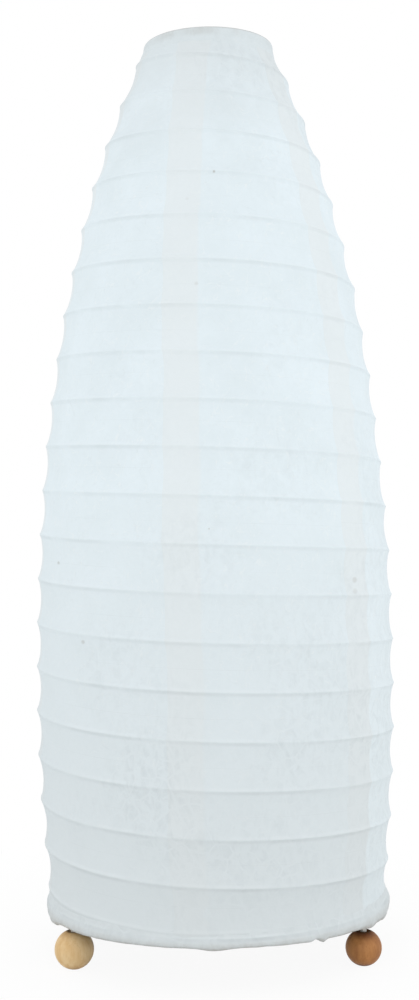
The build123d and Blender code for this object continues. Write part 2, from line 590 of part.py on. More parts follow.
# Bulb: cap, insulator, contact tip, glass, stem, filaments and their wires
tip = rod(TIP_RADIUS, TIP_BOTTOM, TIP_BOTTOM + TIP_HEIGHT - WELD_GAP)
tip = fillet(tip.edges().group_by(Axis.Z)[0], TIP_HEIGHT * 0.6)
save(tip, "bulb_tip")
insulator = turned(
    [
        (0, INSULATOR_BOTTOM),
        (TIP_RADIUS + 1, INSULATOR_BOTTOM),
        (THREAD_CREST_RADIUS - 2, CAP_BOTTOM - WELD_GAP),
        (0, CAP_BOTTOM - WELD_GAP),
    ]
)
save(insulator, "bulb_insulator")
cap_outer = [(THREAD_CREST_RADIUS - 1.5, CAP_BOTTOM)]
cap_outer += wave(THREAD_CREST_RADIUS, CAP_BOTTOM, THREAD_TURNS, THREAD_DEPTH)
cap_outer.append((THREAD_CREST_RADIUS, CAP_TOP))
cap_inner = [(r - CAP_WALL, z) for r, z in reversed(cap_outer)]
cap_inner[-1] = (THREAD_CREST_RADIUS - 1.5 - CAP_WALL, CAP_BOTTOM)
save(turned(cap_outer + cap_inner), "bulb_cap")


def bulb_form(globe, neck, bottom, top):
    start = (neck, 0, bottom)
    meet_angle = math.radians(20)
    meet = (globe * math.cos(meet_angle), 0, GLOBE_HEIGHT - globe * math.sin(meet_angle))
    side = Spline(start, meet, tangents=[(0.05, 0, 1), (math.sin(meet_angle), 0, math.cos(meet_angle))])
    up_angle = math.radians(45)
    shoulder = (globe * math.cos(up_angle), 0, GLOBE_HEIGHT + globe * math.sin(up_angle))
    crown = ThreePointArc(meet, shoulder, (0, 0, top))
    lines = [Line((0, 0, bottom), start), side, crown, Line((0, 0, top), (0, 0, bottom))]
    return revolve(make_face(lines), Axis.Z)


neck_radius = THREAD_CREST_RADIUS + 0.4
glass_bottom = CAP_TOP + WELD_GAP
glass = bulb_form(BULB_RADIUS, neck_radius, glass_bottom, BULB_TOP)
glass -= bulb_form(BULB_RADIUS - GLASS_WALL, neck_radius - GLASS_WALL, glass_bottom, BULB_TOP - GLASS_WALL)
save(glass, "bulb_glass")
flare = neck_radius - GLASS_WALL - PAPER_GAP
stem_top = glass_bottom + STEM_LENGTH
stem = turned(
    [
        (0, glass_bottom),
        (flare, glass_bottom),
        (flare, glass_bottom + STEM_FLARE_EDGE),
        (STEM_RADIUS + 1.5, glass_bottom + STEM_FLARE_WAIST),
        (STEM_RADIUS, glass_bottom + STEM_FLARE_LENGTH),
        (STEM_RADIUS, stem_top - STEM_TIP_LENGTH),
        (STEM_TIP_RADIUS, stem_top),
        (0, stem_top),
    ]
)
save(stem, "bulb_stem")
filament_bottom = stem_top + FILAMENT_TO_STEM
filament_top = filament_bottom + FILAMENT_LENGTH
filaments = []
leads = []
for k in range(FILAMENT_COUNT):
    angle = 45 + k * 360 / FILAMENT_COUNT
    here = Pos(polar(FILAMENT_CIRCLE_RADIUS, angle, 0))
    filaments.append(here * rod(FILAMENT_DIAMETER / 2, filament_bottom, filament_top))
    low = polar(FILAMENT_CIRCLE_RADIUS, angle, filament_bottom - WELD_GAP)
    lead_start = polar(STEM_RADIUS + LEAD_WIRE / 2 + WELD_GAP, angle, stem_top - LEAD_LENGTH)
    leads.append(tube(two_arcs(lead_start, UP, low, UP), LEAD_WIRE))
save(Compound(filaments), "bulb_filaments")
crown_ring = ring(FILAMENT_CIRCLE_RADIUS, LEAD_WIRE, filament_top + LEAD_WIRE / 2 + WELD_GAP)
save(Compound(leads + [crown_ring]), "filament_wires")
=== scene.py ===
import bpy
import math
import numpy as np
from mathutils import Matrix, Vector, noise


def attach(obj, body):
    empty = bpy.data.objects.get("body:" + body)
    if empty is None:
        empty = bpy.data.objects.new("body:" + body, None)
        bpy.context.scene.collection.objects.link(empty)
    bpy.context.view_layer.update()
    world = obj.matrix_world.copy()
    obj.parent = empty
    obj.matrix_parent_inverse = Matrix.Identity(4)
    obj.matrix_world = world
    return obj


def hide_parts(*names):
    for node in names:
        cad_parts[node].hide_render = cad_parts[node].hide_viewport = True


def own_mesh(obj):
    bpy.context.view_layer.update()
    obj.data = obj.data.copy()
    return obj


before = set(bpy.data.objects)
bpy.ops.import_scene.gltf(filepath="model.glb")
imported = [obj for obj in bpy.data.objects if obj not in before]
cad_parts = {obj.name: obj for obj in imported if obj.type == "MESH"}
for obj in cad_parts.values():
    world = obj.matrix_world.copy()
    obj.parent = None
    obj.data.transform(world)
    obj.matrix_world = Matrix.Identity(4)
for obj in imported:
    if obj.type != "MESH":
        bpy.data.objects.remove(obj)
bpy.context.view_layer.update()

# Ball feet. Three small beech balls, turned on a lathe with the grain upright, flattened a little
# at both poles, drilled from above for the leg wires and sealed with a thin clear lacquer.
# The right-hand ball is a little smaller and comes from a darker, redder piece of wood.
MM = 0.001
PALE_BALL_RADIUS, BROWN_BALL_RADIUS, POLE_FLAT_RADIUS = 12.5, 11.5, 4.0


def linear(code):
    shares = [int(code[i:i + 2], 16) / 255 for i in (1, 3, 5)]
    return [c / 12.92 if c <= 0.04045 else ((c + 0.055) / 1.055) ** 2.4 for c in shares] + [1.0]


# Sets or links a node's inputs; where a whole node is given, its first output in use is linked
def join(tree, node, inputs):
    for name, value in inputs.items():
        if isinstance(value, bpy.types.Node):
            value = next(socket for socket in value.outputs if socket.enabled)
        if isinstance(value, bpy.types.NodeSocket):
            tree.links.new(value, node.inputs[name])
        else:
            node.inputs[name].default_value = value


def add(tree, kind, inputs=None, **settings):
    node = tree.nodes.new("ShaderNode" + kind)
    for name, value in settings.items():
        setattr(node, name, value)
    join(tree, node, inputs or {})
    return node


def start_material(name):
    material = bpy.data.materials.new(name)
    material.use_nodes = True
    tree = material.node_tree
    return material, tree, tree.nodes["Principled BSDF"], add(tree, "TexCoord").outputs["Object"]


def dress(material, *names):
    for name in names:
        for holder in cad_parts[name].material_slots:
            holder.material = material


# Lacquered beech gives soft upright streaks, fine dark flecks along them and darker end grain at the
# poles. The small flat round the drilled hole is left bare, and is painted dark as the shade in the hole's
# mouth.
def beech(name, light, middle, dark, radius, pole_share):
    material, tree, shader, place = start_material(name)
    streak_place = add(tree, "Mapping", {
        "Vector": place, "Scale": [1 / (size * MM) for size in (2.6, 2.6, 34)],
    })
    streaks = add(tree, "TexNoise", {"Vector": streak_place, "Scale": 1.0, "Detail": 2.0, "Roughness": 0.5})
    fleck_place = add(tree, "Mapping", {
        "Vector": place, "Scale": [1 / (size * MM) for size in (0.6, 0.6, 5)],
    })
    flecks = add(tree, "TexNoise", {"Vector": fleck_place, "Scale": 1.0, "Detail": 3.0, "Roughness": 0.6})
    clouds = add(tree, "TexNoise", {"Vector": place, "Scale": 1 / (9 * MM), "Detail": 3.0})
    tone_sum = add(tree, "Math", {0: streaks, 1: clouds}, operation="ADD")
    tone = add(tree, "MapRange", {"Value": tone_sum, "From Min": 0.75, "From Max": 1.3})
    body = add(tree, "Mix", {0: tone, 6: linear(light), 7: linear(middle)}, data_type="RGBA")
    pores = add(tree, "MapRange", {"Value": flecks, "From Min": 0.57, "From Max": 0.76, "To Max": 0.4})
    flecked = add(tree, "Mix", {0: pores, 6: body, 7: linear(dark)}, data_type="RGBA")
    height = add(tree, "SeparateXYZ", {"Vector": place}).outputs["Z"]
    half_height = math.sqrt(radius ** 2 - POLE_FLAT_RADIUS ** 2)
    from_middle = add(tree, "Math", {0: height, 1: half_height * MM}, operation="SUBTRACT")
    pole = add(tree, "Math", {0: from_middle}, operation="ABSOLUTE")
    ragged = add(tree, "Math", {0: clouds, 1: 5 * MM, 2: pole}, operation="MULTIPLY_ADD")
    end_grain = add(tree, "MapRange", {
        "Value": ragged, "From Min": (radius - 2.2) * MM, "From Max": (radius + 1.6) * MM,
        "To Max": pole_share,
    })
    grained = add(tree, "Mix", {0: end_grain, 6: flecked, 7: linear(dark)}, data_type="RGBA")
    # The flat at the top is painted dark: painted shade for the drilled hole
    top = 2 * half_height
    hole_shade = add(tree, "MapRange", {
        "Value": height, "From Min": (top - 0.6) * MM, "From Max": (top - 0.1) * MM, "To Max": 0.85,
    })
    join(tree, shader, {
        "Base Color": add(tree, "Mix", {0: hole_shade, 6: grained, 7: linear("#4A3920")}, data_type="RGBA"),
        "Roughness": add(tree, "MapRange", {"Value": flecks, "To Min": 0.45, "To Max": 0.65}),
        "Normal": add(tree, "Bump", {"Height": flecks, "Strength": 0.2, "Distance": 0.08 * MM}),
        "Specular IOR Level": 0.35,
    })
    return material


pale_beech = beech("pale lacquered beech", "#E8CB9C", "#DBB680", "#AE854E", PALE_BALL_RADIUS, 0.5)
brown_beech = beech("brown lacquered beech", "#B57D48", "#9B6536", "#5F300F", BROWN_BALL_RADIUS, 0.95)
dress(pale_beech, "foot_ball_left", "foot_ball_back")
dress(brown_beech, "foot_ball_right")

# Standing frame. Three bent leg wires are welded under a pressed steel disc, three upright wires
# stand in socket tubes on it, and a wire ring is welded round their tops to carry the shade.
# All of it is powder coated white in one go.
coat, tree, shader, place = start_material("white powder coat on steel")
# A powder coat has a faint orange peel about 1 mm across, and a few dull, slightly yellowed patches.
peel = add(tree, "TexNoise", {"Vector": place, "Scale": 1 / (1.1 * MM), "Detail": 2.0})
patches = add(tree, "TexNoise", {"Vector": place, "Scale": 1 / (30 * MM), "Detail": 3.0})
yellowed = add(tree, "MapRange", {"Value": patches, "From Min": 0.35, "From Max": 0.7})
join(tree, shader, {
    "Base Color": add(tree, "Mix", {
        0: yellowed, 6: linear("#E9E9E6"), 7: linear("#DEDCD3"),
    }, data_type="RGBA"),
    "Roughness": add(tree, "MapRange", {"Value": patches, "To Min": 0.32, "To Max": 0.55}),
    "Normal": add(tree, "Bump", {"Height": peel, "Strength": 0.2, "Distance": 0.08 * MM}),
})
for side in ("back", "left", "right"):
    dress(coat, "leg_" + side, "socket_" + side, "upright_" + side)
dress(coat, "hub_disc", "frame_ring")

# Threaded nipple, its two nuts and the toothed washer. Small turned and stamped steel pieces that
# clamp the lamp holder through the hole in the disc, bright zinc plated.
zinc, tree, shader, place = start_material("bright zinc plate on steel")
# Zinc plate shows cloudy spangle a few millimetres across, and fine marks from tumbling.
spangle = add(tree, "TexVoronoi", {"Vector": place, "Scale": 1 / (2.5 * MM), "Randomness": 1.0})
tumbled = add(tree, "TexNoise", {"Vector": place, "Scale": 1 / (0.4 * MM), "Detail": 3.0})
spangle_draw = add(tree, "SeparateColor", {"Color": spangle.outputs["Color"]}).outputs["Red"]
join(tree, shader, {
    "Base Color": add(tree, "Mix", {
        0: spangle_draw, 6: linear("#BFC2C2"), 7: linear("#D3D2CA"),
    }, data_type="RGBA"),
    "Roughness": add(tree, "MapRange", {"Value": tumbled, "To Min": 0.24, "To Max": 0.46}),
    "Normal": add(tree, "Bump", {"Height": tumbled, "Strength": 0.15, "Distance": 0.03 * MM}),
    "Metallic": 1.0,
})
dress(zinc, "nipple", "lower_nut", "upper_nut", "toothed_washer")

# Lamp holder and cable bush. The holder's base cup and ribbed sleeve screw together round the
# contacts, and the bush lines the nipple's lower end. They are moulded in white thermoset plastic.
moulded, tree, shader, place = start_material("white moulded thermoset plastic")
# Moulded thermoset is satin, with faint flow clouds and a very fine grain from the mould.
flow = add(tree, "TexNoise", {"Vector": place, "Scale": 1 / (9 * MM), "Detail": 3.0, "Distortion": 0.8})
mould_grain = add(tree, "TexNoise", {"Vector": place, "Scale": 1 / (0.35 * MM), "Detail": 2.0})
flow_tone = add(tree, "MapRange", {"Value": flow, "From Min": 0.3, "From Max": 0.7})
join(tree, shader, {
    "Base Color": add(tree, "Mix", {
        0: flow_tone, 6: linear("#E9E8E1"), 7: linear("#E1DFD5"),
    }, data_type="RGBA"),
    "Roughness": add(tree, "MapRange", {"Value": flow, "To Min": 0.3, "To Max": 0.45}),
    "Normal": add(tree, "Bump", {"Height": mould_grain, "Strength": 0.12, "Distance": 0.03 * MM}),
})
dress(moulded, "cable_bush", "holder_base", "holder_sleeve")

# Contact block with its screw shell, contact strips and terminal screws. The block is pressed and
# fired steatite, and the strips, shell and screws are bent or turned from bright brass.
steatite, tree, shader, place = start_material("unglazed fired steatite")
# Unglazed steatite is chalky white with tiny grey specks and a fine pressed grain.
pressed_grain = add(tree, "TexNoise", {"Vector": place, "Scale": 1 / (0.5 * MM), "Detail": 3.0})
speck = add(tree, "MapRange", {"Value": pressed_grain, "From Min": 0.6, "From Max": 0.75, "To Max": 0.5})
join(tree, shader, {
    "Base Color": add(tree, "Mix", {0: speck, 6: linear("#ECE9E0"), 7: linear("#B9B4A8")}, data_type="RGBA"),
    "Normal": add(tree, "Bump", {"Height": pressed_grain, "Strength": 0.3, "Distance": 0.05 * MM}),
    "Roughness": 0.8,
})
dress(steatite, "contact_block")
brass, tree, shader, place = start_material("bright rolled brass")
# Rolled brass is bright yellow, with a little brown tarnish in duller patches.
tarnish = add(tree, "TexNoise", {"Vector": place, "Scale": 1 / (4 * MM), "Detail": 4.0})
browned = add(tree, "MapRange", {"Value": tarnish, "From Min": 0.45, "From Max": 0.75})
join(tree, shader, {
    "Base Color": add(tree, "Mix", {
        0: browned, 6: linear("#D9B667"), 7: linear("#B08A45"),
    }, data_type="RGBA"),
    "Roughness": add(tree, "MapRange", {"Value": tarnish, "To Min": 0.2, "To Max": 0.5}),
    "Metallic": 1.0,
})
dress(brass, "screw_shell", "centre_contact", "side_contact", "terminal_screws")

# Bulb cap, contact tip and insulator. The cap is thin aluminium rolled with a screw thread, the tip
# is a drop of solder, and black vitreous glass holds the two apart.
cap_metal, tree, shader, place = start_material("rolled aluminium sheet")
# Rolled aluminium is bright, with fine scratches round the thread from screwing in and out.
scratch_place = add(tree, "Mapping", {"Vector": place, "Scale": [1 / (size * MM) for size in (5, 5, 0.25)]})
scratches = add(tree, "TexNoise", {"Vector": scratch_place, "Scale": 1.0, "Detail": 3.0})
join(tree, shader, {
    "Base Color": add(tree, "Mix", {
        0: scratches, 6: linear("#D8D9DA"), 7: linear("#B9BABC"),
    }, data_type="RGBA"),
    "Roughness": add(tree, "MapRange", {"Value": scratches, "To Min": 0.18, "To Max": 0.45}),
    "Metallic": 1.0,
})
dress(cap_metal, "bulb_cap")
solder, tree, shader, place = start_material("dull lead-free solder")
# Cooled solder is grey, grainy and slightly wavy.
frost = add(tree, "TexNoise", {"Vector": place, "Scale": 1 / (0.6 * MM), "Detail": 4.0})
join(tree, shader, {
    "Base Color": add(tree, "Mix", {0: frost, 6: linear("#B4B5B8"), 7: linear("#8C8D91")}, data_type="RGBA"),
    "Normal": add(tree, "Bump", {"Height": frost, "Strength": 0.5, "Distance": 0.08 * MM}),
    "Metallic": 1.0,
    "Roughness": 0.42,
})
dress(solder, "bulb_tip")
vitrite, tree, shader, place = start_material("black vitreous glass")
# Pressed black glass is glossy, with small ripples and brownish bubbles.
ripple = add(tree, "TexNoise", {"Vector": place, "Scale": 1 / (1.5 * MM), "Detail": 2.0})
bubble = add(tree, "MapRange", {"Value": ripple, "From Min": 0.55, "From Max": 0.8})
join(tree, shader, {
    "Base Color": add(tree, "Mix", {0: bubble, 6: linear("#17171A"), 7: linear("#3A2F2A")}, data_type="RGBA"),
    "Normal": add(tree, "Bump", {"Height": ripple, "Strength": 0.3, "Distance": 0.05 * MM}),
    "Roughness": 0.15,
})
dress(vitrite, "bulb_insulator")

# Bulb glass, stem, filaments and lead wires. A clear blown globe is sealed on a pressed glass stem,
# which carries four coated light strips on bright support wires.
for glass_name, node, wave_depth in (
    ("clear blown glass", "bulb_glass", 0.2), ("clear pressed glass", "bulb_stem", 0.5),
):
    glass, tree, shader, place = start_material(glass_name)
    # Blown and pressed glass is clear with slow, shallow waves in its surface.
    waves = add(tree, "TexNoise", {"Vector": place, "Scale": 1 / (14 * MM), "Detail": 1.0})
    join(tree, shader, {
        "Base Color": add(tree, "Mix", {
            0: waves, 6: linear("#F7FBFC"), 7: linear("#EFF5F6"),
        }, data_type="RGBA"),
        "Normal": add(tree, "Bump", {"Height": waves, "Strength": 0.2, "Distance": wave_depth * MM}),
        "Transmission Weight": 1.0,
        "IOR": 1.5,
        "Roughness": 0.02,
    })
    dress(glass, node)
phosphor, tree, shader, place = start_material("yellow phosphor coat")
# The coat on a light strip is matt, grainy and orange yellow.
grit = add(tree, "TexNoise", {"Vector": place, "Scale": 1 / (0.3 * MM), "Detail": 2.0})
join(tree, shader, {
    "Base Color": add(tree, "Mix", {0: grit, 6: linear("#F0C453"), 7: linear("#DDA22F")}, data_type="RGBA"),
    "Normal": add(tree, "Bump", {"Height": grit, "Strength": 0.4, "Distance": 0.05 * MM}),
    "Roughness": 0.7,
})
dress(phosphor, "bulb_filaments")

# Rings of the shade. Each is drawn steel wire bent round and butt welded; the paper's edges are
# turned over them and glued, so only a little wire shows from inside.
drawn_wire, tree, shader, place = start_material("plain drawn steel wire")
# Drawn wire is grey and half bright, with faint rust-brown clouds where it was handled.
handled = add(tree, "TexNoise", {"Vector": place, "Scale": 1 / (12 * MM), "Detail": 4.0})
drawn_lines = add(tree, "TexNoise", {"Vector": place, "Scale": 1 / (0.5 * MM), "Detail": 3.0})
rusty = add(tree, "MapRange", {"Value": handled, "From Min": 0.58, "From Max": 0.78, "To Max": 0.6})
join(tree, shader, {
    "Base Color": add(tree, "Mix", {0: rusty, 6: linear("#C3C5C7"), 7: linear("#9A8673")}, data_type="RGBA"),
    "Roughness": add(tree, "MapRange", {"Value": drawn_lines, "To Min": 0.28, "To Max": 0.55}),
    "Metallic": 1.0,
})
dress(drawn_wire, "top_ring", "bottom_ring", "filament_wires")

# Spiral rib. One long spring of thin drawn wire winds from the top ring down to the bottom ring at
# an even spacing along the paper, which is glued to it turn by turn.
BELLY_RADIUS, BELLY_HEIGHT = 118.9, 151.0
TOP_RING_HEIGHT, BOTTOM_RING_HEIGHT = 598.25, 31.0
TOP_EDGE_RADIUS, BOTTOM_RIB_RADIUS = 42.75, 111.5
SHOULDER_POWER, MOUTH_POWER, MOUTH_SHARE, FOOT_POWER = 2.4, 6, 0.1, 1.4
RIB_TURNS, RIB_WIRE, RIB_INSET, RIB_END_GAP = 19.4, 1.6, 1.6, 6.2
RIB_TOP, RIB_BOTTOM = TOP_RING_HEIGHT - RIB_END_GAP, BOTTOM_RING_HEIGHT + RIB_END_GAP
OUTLINE_STEPS, RIB_STEPS = 1200, 780
FIRST_SEAM = 109.0
# The rib's ends are hooked on the rings: radius and height, how far round, and the turn left free for it
TOP_HOOK, BOTTOM_HOOK, HOOK_ANGLE, HOOK_TURN = (41.2, 596.0), (111.2, 33.9), 4.0, 0.02


# Radius of the shade over its ribs at a height
def ridge_radius(height):
    up = np.clip((height - BELLY_HEIGHT) / (TOP_RING_HEIGHT - BELLY_HEIGHT), 0, None)
    down = np.clip((BELLY_HEIGHT - height) / (BELLY_HEIGHT - BOTTOM_RING_HEIGHT), 0, None)
    drawn_in = (1 - MOUTH_SHARE) * up ** SHOULDER_POWER + MOUTH_SHARE * up ** MOUTH_POWER
    upper = BELLY_RADIUS - (BELLY_RADIUS - TOP_EDGE_RADIUS) * drawn_in
    lower = BELLY_RADIUS - (BELLY_RADIUS - BOTTOM_RIB_RADIUS) * down ** FOOT_POWER
    return np.where(height >= BELLY_HEIGHT, upper, lower)


outline_heights = np.linspace(RIB_TOP, RIB_BOTTOM, OUTLINE_STEPS + 1)
outline_steps = np.hypot(np.diff(outline_heights), np.diff(ridge_radius(outline_heights)))
outline_lengths = np.concatenate([[0.0], np.cumsum(outline_steps)])
RIB_SPACING = outline_lengths[-1] / RIB_TURNS


# Height of the rib after so many turns from its top
def rib_height(turns):
    return np.interp(turns * RIB_SPACING, outline_lengths, outline_heights)


def around(radius, degrees, height):
    turn = np.radians(degrees)
    return np.stack([radius * np.cos(turn), radius * np.sin(turn), height + 0 * turn], axis=-1) * MM


rib_turns = np.linspace(HOOK_TURN, RIB_TURNS - HOOK_TURN, RIB_STEPS)
rib_heights = rib_height(rib_turns)
rib_line = around(ridge_radius(rib_heights) - RIB_INSET, FIRST_SEAM + 360 * rib_turns, rib_heights)
hook_top = around(TOP_HOOK[0], np.array([FIRST_SEAM + HOOK_ANGLE]), TOP_HOOK[1])
hook_bottom = around(BOTTOM_HOOK[0], np.array([FIRST_SEAM + 360 * RIB_TURNS - HOOK_ANGLE]), BOTTOM_HOOK[1])
rib_points = np.concatenate([hook_top, rib_line, hook_bottom])
bpy.ops.object.select_all(action="DESELECT")
rib_curve = bpy.data.curves.new("spiral_wire", "CURVE")
rib_curve.dimensions = "3D"
rib_curve.bevel_depth = RIB_WIRE / 2 * MM
rib_curve.bevel_resolution = 2
rib_curve.use_fill_caps = True
strand = rib_curve.splines.new("NURBS")
strand.points.add(len(rib_points) - 1)
strand.points.foreach_set("co", np.c_[rib_points, np.ones(len(rib_points))].ravel())
strand.order_u = 3
strand.use_endpoint_u = True
strand.resolution_u = 1
spiral_wire = bpy.data.objects.new("spiral_wire", rib_curve)
bpy.context.collection.objects.link(spiral_wire)
spiral_wire.select_set(True)
bpy.context.view_layer.objects.active = spiral_wire
bpy.ops.object.convert(target="MESH")
spiral_wire = bpy.context.object
bpy.ops.object.shade_smooth()
spiral_wire.data.materials.clear()
spiral_wire.data.materials.append(drawn_wire)
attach(spiral_wire, "shade_top")
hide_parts("spiral_rib")
# Folded up, the turns of wire and paper lie stacked between the top ring and the lower hem's upper edge
FOLD_TRAVEL, HEM_EDGE_HEIGHT, BOTTOM_EDGE_HEIGHT = 510.0, 41.5, 33.0
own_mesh(spiral_wire)

# Paper gores. Five tapered sheets of handmade mulberry paper are glued over the rib, each lapped
# about 24 mm over its neighbour, and the wet paper draws in between the turns as it dries.
# The drying leaves fine wrinkles, most of them low on the right, and a bead along the wire.
GORES = 5
GORE_ANGLE = 360 / GORES
PAPER, LAP = 0.3, 24.0
TOP_EDGE_HEIGHT, BOTTOM_EDGE_RADIUS = 597.125, 113.0
SAG, BOTTOM_SAG = 2.1, 3.4
ROWS_PER_BAND, COLUMNS = 20, 96
# The rib starts under the last gore and ends under the third
RIB_START_GORE, RIB_END_GORE = GORES - 1, 2
# A lap stands proud by so much, its own edge is pressed down and the edge under it is tucked in
LAP_RAISE, EDGE_PRESS, TUCK = 0.12, 0.28, 0.15
# Heights of what the drying leaves: crumples, gathers at the wire, long folds, unevenness and the bead
CRUMPLE_LIFT, GATHER_LIFT, FOLD_LIFT, UNEVEN_LIFT, BEAD_LIFT = 0.34, 0.22, 0.3, 0.7, 0.38
# How far from the wire the bead reaches, the glue holds the paper smooth, and the gathers run out
BEAD_REACH, GLUE_REACH, GATHER_REACH = 1.5, 2.2, 6
# How far each gore's lap edge strays from its seam, in degrees, at the bottom and at the top
EDGE_STRAY = [(0.0, -2.0), (1.5, 3.0), (2.0, -9.0), (-12.0, -11.0), (1.0, 2.5)]
# How strongly each gore takes the painted shade towards the foot and the top
GORE_PAINTED_SHADE_WEIGHTS = [1.0, 0.95, 1.0, 0.55, 0.9]
# How strongly the crumples' painted shade and highlights show on the shade, most near the foot and at the
# top: heights and shares
CRUMPLE_HEIGHTS = [60, 125, 190, 255, 320, 385, 445, 500, 560]
CRUMPLE_SHARES = [1.05, 1.5, 0.92, 0.75, 0.55, 0.36, 0.3, 0.6, 0.95]


def smooth_step(value):
    share = np.clip(value, 0, 1)
    return share * share * (3 - 2 * share)


# Uneven values from -1 to 1 at points in mm, about so many mm across; each seed gives another pattern
def grain(points, size, seed):
    shift = Vector((seed * 17.3, seed * 5.1, seed * 9.7))
    return np.array([noise.noise(Vector(p) / size + shift) for p in points])


# A sheet of paper starts as a flat grid; place gives each point's spot from its share across and down
def paper_sheet(name, columns, rows, place, closed=False):
    bpy.ops.object.select_all(action="DESELECT")
    bpy.ops.mesh.primitive_grid_add(x_subdivisions=columns, y_subdivisions=rows, size=1)
    sheet = bpy.context.object
    sheet.name = sheet.data.name = name
    flat = np.zeros(len(sheet.data.vertices) * 3)
    sheet.data.vertices.foreach_get("co", flat)
    flat = flat.reshape(-1, 3)
    spots, marks = place(flat[:, 0] + 0.5, 0.5 - flat[:, 1])
    sheet.data.vertices.foreach_set("co", spots.ravel())
    for mark, values in marks.items():
        layer = sheet.data.attributes.new(mark, "FLOAT", "POINT")
        layer.data.foreach_set("value", values)
    sheet.data.update()
    if closed:
        bpy.ops.object.mode_set(mode="EDIT")
        bpy.ops.mesh.select_all(action="SELECT")
        bpy.ops.mesh.remove_doubles(threshold=0.01 * MM)
        bpy.ops.object.mode_set(mode="OBJECT")
    wall = sheet.modifiers.new("paper thickness", "SOLIDIFY")
    wall.thickness = PAPER * MM
    wall.offset = -1
    bpy.ops.object.modifier_apply(modifier=wall.name)
    bpy.ops.object.shade_smooth_by_angle(angle=math.radians(50))
    return sheet


# Lap edge of a gore, in degrees, at a share of the way down
def lap_edge(gore, down):
    low, high = EDGE_STRAY[gore % GORES]
    wander = 0.35 * np.sin(down * 23 + gore * 2.1) + 0.2 * np.sin(down * 61 + gore)
    return FIRST_SEAM + gore * GORE_ANGLE + high + (low - high) * (1 - (1 - down) ** 3) + wander


# How many times the rib crosses the whole width of a gore
def full_crossings(gore):
    return int(RIB_TURNS - (gore + 1) / GORES + 1e-6) + 1


# Sag of the paper at a share of the way between two ribs; depth is its middle over the usual spacing
def sag_at(depth, chord, share):
    return 4 * depth * (chord / RIB_SPACING) ** 2 * share * (1 - share)


# Rib crossings of a gore from top to bottom, as radius and height for each point's angle
def gore_ridges(gore, turn):
    level = 0 * turn
    across = np.clip(turn * GORES - gore, 0, 1)
    crossings = full_crossings(gore)
    ridges = [(TOP_EDGE_RADIUS + level, TOP_EDGE_HEIGHT + level)]
    for k in range(crossings):
        height = rib_height(np.maximum(turn + k, 0))
        ridges.append((ridge_radius(height), height))
    ridges.append((BOTTOM_EDGE_RADIUS + level, BOTTOM_EDGE_HEIGHT + level))
    sags = [SAG + level] * crossings + [BOTTOM_SAG + level]
    strength = [level] + [1 + level] * crossings + [level]
    # Where the rib starts or ends under a gore, one more ridge rises out of the sag across its width
    for end_gore, at, height, depth, share in (
        (RIB_START_GORE, 1, RIB_TOP, SAG, across),
        (RIB_END_GORE, -1, RIB_BOTTOM, BOTTOM_SAG, 1 - across),
    ):
        if gore == end_gore:
            above, below = (ridges[0], ridges[1]) if at == 1 else (ridges[-2], ridges[-1])
            part = (above[1] - height) / (above[1] - below[1])
            chord = np.hypot(above[0] - below[0], above[1] - below[1])
            low = above[0] + part * (below[0] - above[0]) - sag_at(depth, chord, part)
            ridges.insert(at, (low + share * (ridge_radius(height) - low), height + level))
            strength.insert(at, share)
            sags.insert(0 if at == 1 else -1, depth + share * (SAG - depth))
    return [np.array(part) for part in zip(*ridges)], np.array(sags), np.array(strength)


def stretched(points, along, up):
    return points * (1 / along, 1 / up, 1)


# What the drying adds to the smooth sag, in mm, and how creased the paper is
def drying(spots, unrolled, near, near_strength, off_ends):
    right = spots[:, 0] / BELLY_RADIUS
    low = 1 - unrolled[:, 1] / TOP_RING_HEIGHT
    creased = smooth_step(0.25 + 0.3 * right + 0.35 * low + 0.8 * grain(spots, 55, 1))
    crumple = 0.5 - np.abs(grain(spots, 9, 2)) + 0.5 * (0.5 - np.abs(grain(spots, 4.6, 3)))
    gathers = grain(stretched(unrolled, 5.0, 45.0), 1, 4) * np.exp(-near / GATHER_REACH)
    folds = grain(stretched(unrolled, 24.0, 130.0), 1, 5)
    off_rib = 1 - np.exp(-(near / GLUE_REACH) ** 2)
    lift = off_rib * (CRUMPLE_LIFT * creased * crumple + GATHER_LIFT * gathers) + FOLD_LIFT * off_ends * folds
    lift = lift * (0.25 + 0.75 * off_ends) + UNEVEN_LIFT * off_ends * grain(spots, 80, 6)
    bead_size = BEAD_LIFT * np.clip(0.9 + 0.9 * grain(stretched(unrolled, 40.0, 12.0), 1, 7), 0.2, 1.6)
    return lift + bead_size * near_strength * np.exp(-(near / BEAD_REACH) ** 2), creased


